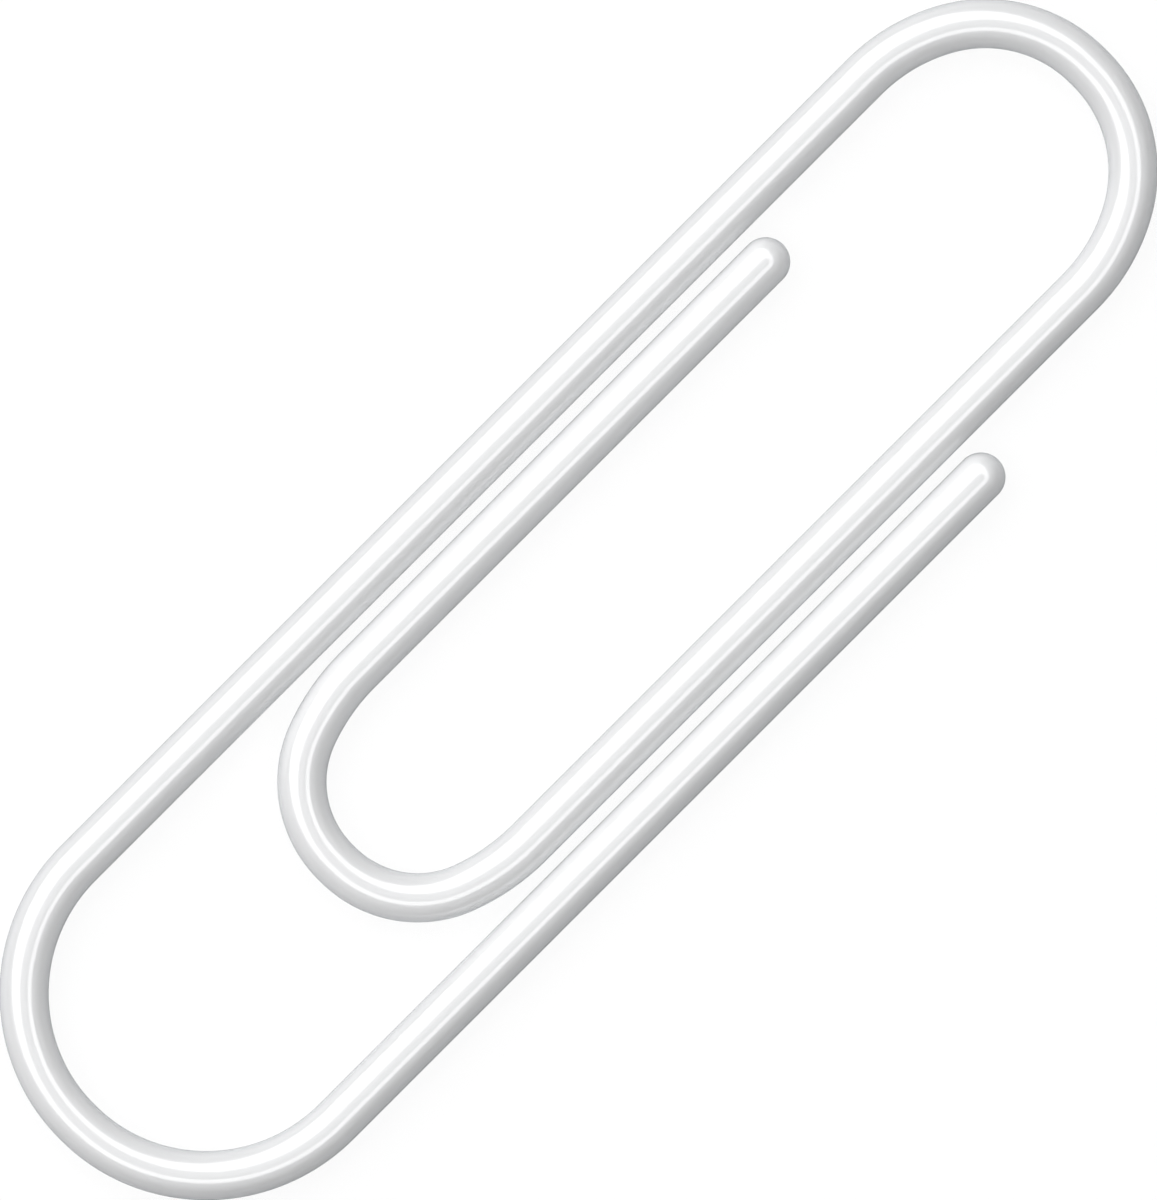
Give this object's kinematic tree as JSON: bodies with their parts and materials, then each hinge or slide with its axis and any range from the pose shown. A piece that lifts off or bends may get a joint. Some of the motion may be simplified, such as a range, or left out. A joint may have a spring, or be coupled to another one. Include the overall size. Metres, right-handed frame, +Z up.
{
  "type": "paper clip",
  "caption": "Coated wire clip bent flat into nested loops that spring together and hold sheets of paper.",
  "frame": {"origin": "on the table under the middle of the clip, as it lies flat", "axes": "+Y along the legs from the heel to the crown, +X across them towards the outer leg, +Z up off the table"},
  "size_m": [0.009, 0.033, 0.0011],
  "materials": {
    "galvanised_wire": "drawn and galvanised",
    "white_skin": "glossy, smooth"
  },
  "bodies": {
    "long_leg": {"long_leg_core": "galvanised_wire", "long_leg_coating": "white_skin"},
    "outer_leg": {"outer_leg_core": "galvanised_wire", "outer_leg_coating": "white_skin"},
    "inner_leg": {"inner_leg_core": "galvanised_wire", "inner_leg_coating": "white_skin"},
    "tongue_leg": {"tongue_leg_core": "galvanised_wire", "tongue_leg_coating": "white_skin"}
  },
  "joints": [
    {"name": "heel_twist", "type": "hinge", "parent": "long_leg", "child": "outer_leg", "pos_m": [0, -0.01596, 0.00054], "axis": [1, 0, 0], "range_deg": [-6, 6], "stiffness_Nm_per_rad": 0.345},
    {"name": "crown_twist", "type": "hinge", "parent": "long_leg", "child": "inner_leg", "pos_m": [-0.00067, 0.01596, 0.00054], "axis": [1, 0, 0], "range_deg": [-10, 10], "stiffness_Nm_per_rad": 0.275},
    {"name": "tongue_twist", "type": "hinge", "parent": "inner_leg", "child": "tongue_leg", "pos_m": [0, -0.00796, 0.00054], "axis": [1, 0, 0], "range_deg": [-6, 6], "stiffness_Nm_per_rad": 0.549}
  ]
}
